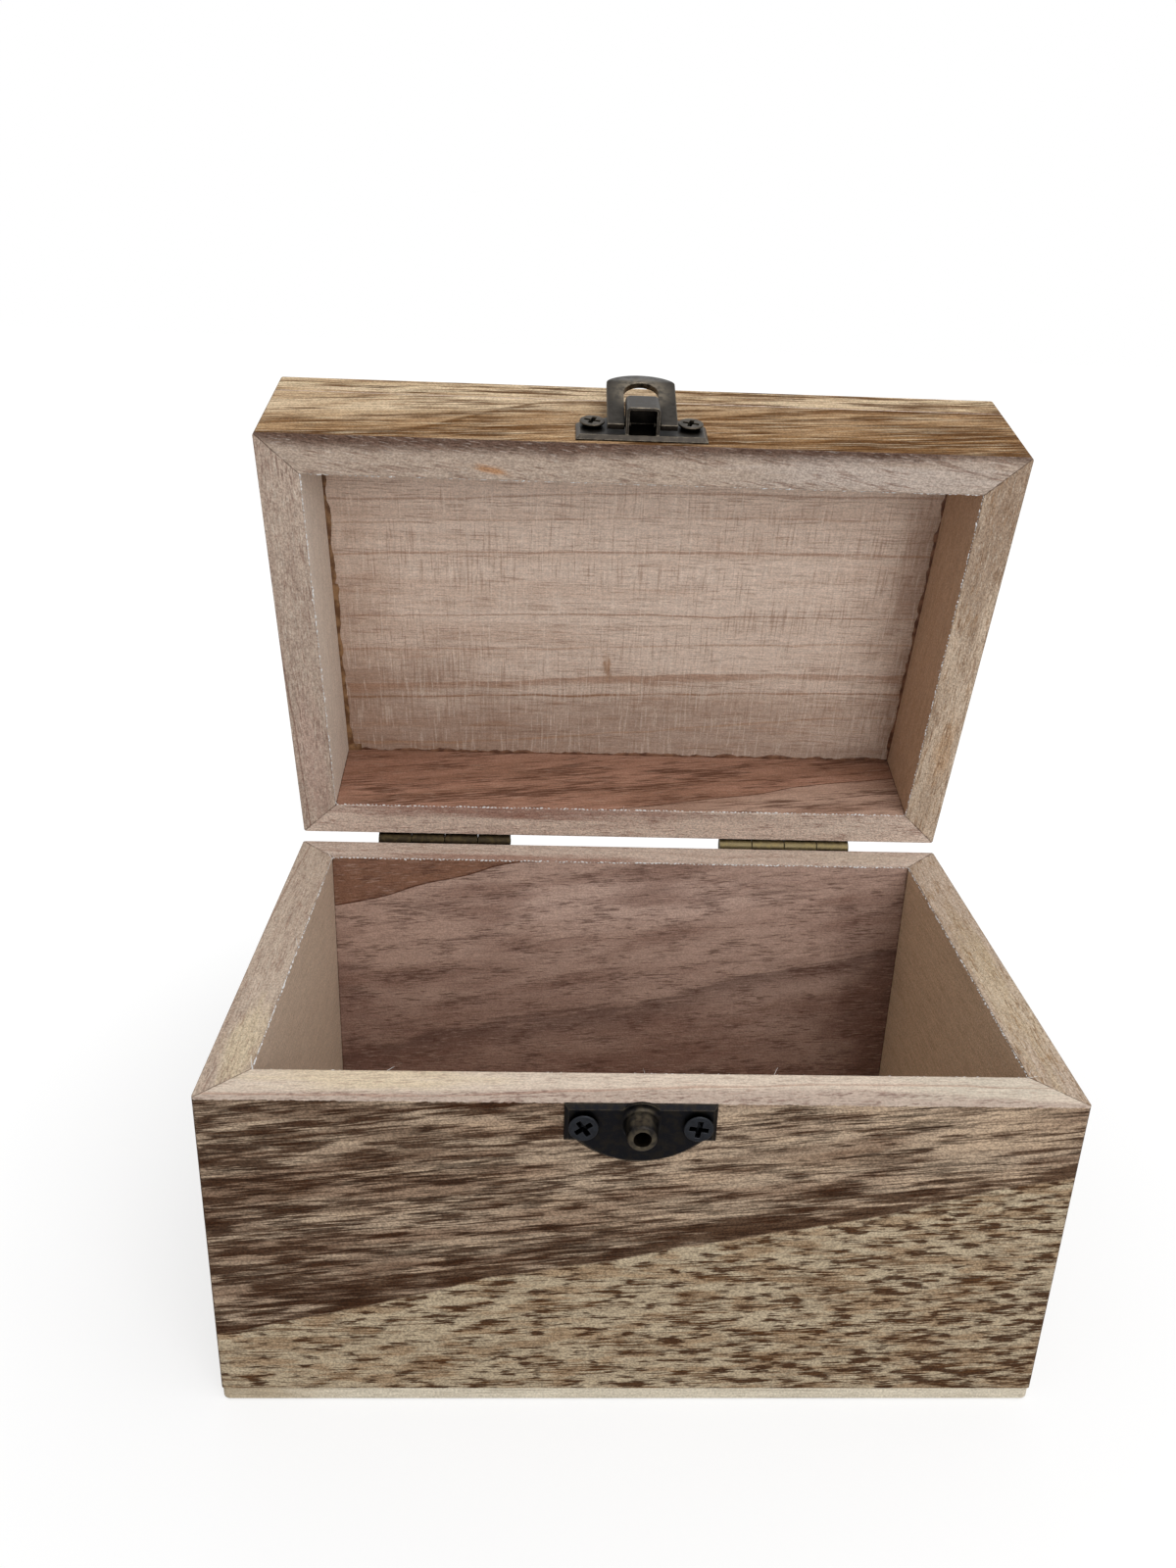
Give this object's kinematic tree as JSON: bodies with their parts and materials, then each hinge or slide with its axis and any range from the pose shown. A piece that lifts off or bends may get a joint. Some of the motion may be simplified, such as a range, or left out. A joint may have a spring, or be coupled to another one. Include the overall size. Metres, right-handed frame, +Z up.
{
  "type": "hinged wooden storage box",
  "caption": "Small mitred wooden keepsake box with a deep hinged lid, surface butt hinges and a stamped hasp latch, shown open.",
  "frame": {"origin": "centre of the underside of the bottom panel, where the box rests", "axes": "+X to the right along the front, +Y from the hasp side to the hinge side, +Z up"},
  "size_m": [0.15, 0.1333, 0.1747],
  "materials": {
    "walnut_toned_paulownia": "sanded, unfinished",
    "pale_paulownia": "sawn, unfinished",
    "pale_panel": "sanded, unfinished",
    "blackened_steel": "antique bronze plating, worn",
    "antique_bronze_steel": "antique bronze plating, brassy wear"
  },
  "bodies": {
    "body": {"body_front_wall": "walnut_toned_paulownia", "body_back_wall": "walnut_toned_paulownia", "body_left_wall": "pale_paulownia", "body_right_wall": "pale_paulownia", "bottom_panel": "pale_panel", "strike_plate": "blackened_steel", "strike_plate_screws": "blackened_steel", "left_hinge_body_leaf": "antique_bronze_steel", "right_hinge_body_leaf": "antique_bronze_steel", "left_hinge_pin": "antique_bronze_steel", "right_hinge_pin": "antique_bronze_steel", "body_hinge_screws": "antique_bronze_steel"},
    "lid": {"lid_front_wall": "walnut_toned_paulownia", "lid_back_wall": "walnut_toned_paulownia", "lid_left_wall": "pale_paulownia", "lid_right_wall": "pale_paulownia", "lid_top_board": "pale_paulownia", "left_hinge_lid_leaf": "antique_bronze_steel", "right_hinge_lid_leaf": "antique_bronze_steel", "lid_hinge_screws": "antique_bronze_steel", "hasp_plate": "blackened_steel", "hasp_plate_screws": "blackened_steel"},
    "loop": {"hasp_loop": "blackened_steel"}
  },
  "joints": [
    {"name": "lid_hinge", "type": "hinge", "parent": "body", "child": "lid", "pos_m": [0, 0.051, 0.067], "axis": [-1, 0, 0], "range_deg": [-74.8, 110]},
    {"name": "loop_pivot", "type": "hinge", "parent": "lid", "child": "loop", "pos_m": [-0.0011, 0.02818, 0.16702], "axis": [-1, 0, 0], "range_deg": [-167, 13]}
  ]
}
